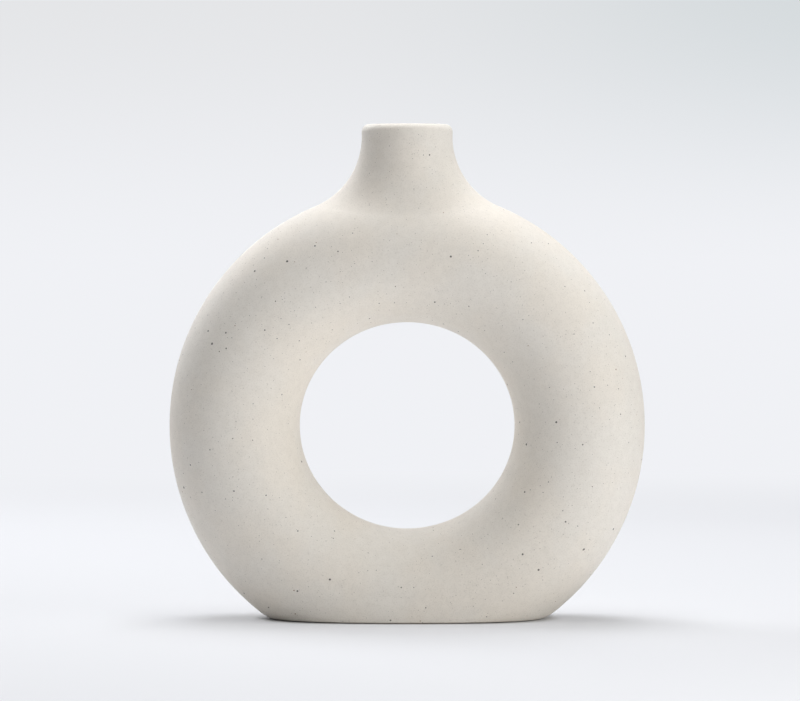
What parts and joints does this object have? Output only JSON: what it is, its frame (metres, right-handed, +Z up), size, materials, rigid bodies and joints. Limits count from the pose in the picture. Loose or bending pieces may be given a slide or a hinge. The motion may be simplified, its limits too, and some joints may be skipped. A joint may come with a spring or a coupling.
{
  "type": "donut vase",
  "caption": "Upright hollow ring vase in speckled matte stoneware, with a flat foot and a short flared neck for a few stems.",
  "frame": {"origin": "middle of the flat foot's underside, on the surface that the vase stands on", "axes": "+X across the ring, +Y through the hole towards the back, +Z up along the neck"},
  "size_m": [0.2, 0.06, 0.2078],
  "materials": {
    "stoneware": "matte warm off-white, with fine sandy grain and small dark brown specks",
    "liner_glaze": "glossy pale cream glaze, waterproof"
  },
  "bodies": {
    "root": {"front_shell": "stoneware", "back_shell": "stoneware", "neck": "stoneware", "base": "stoneware", "liner_glaze": "liner_glaze"}
  },
  "joints": []
}
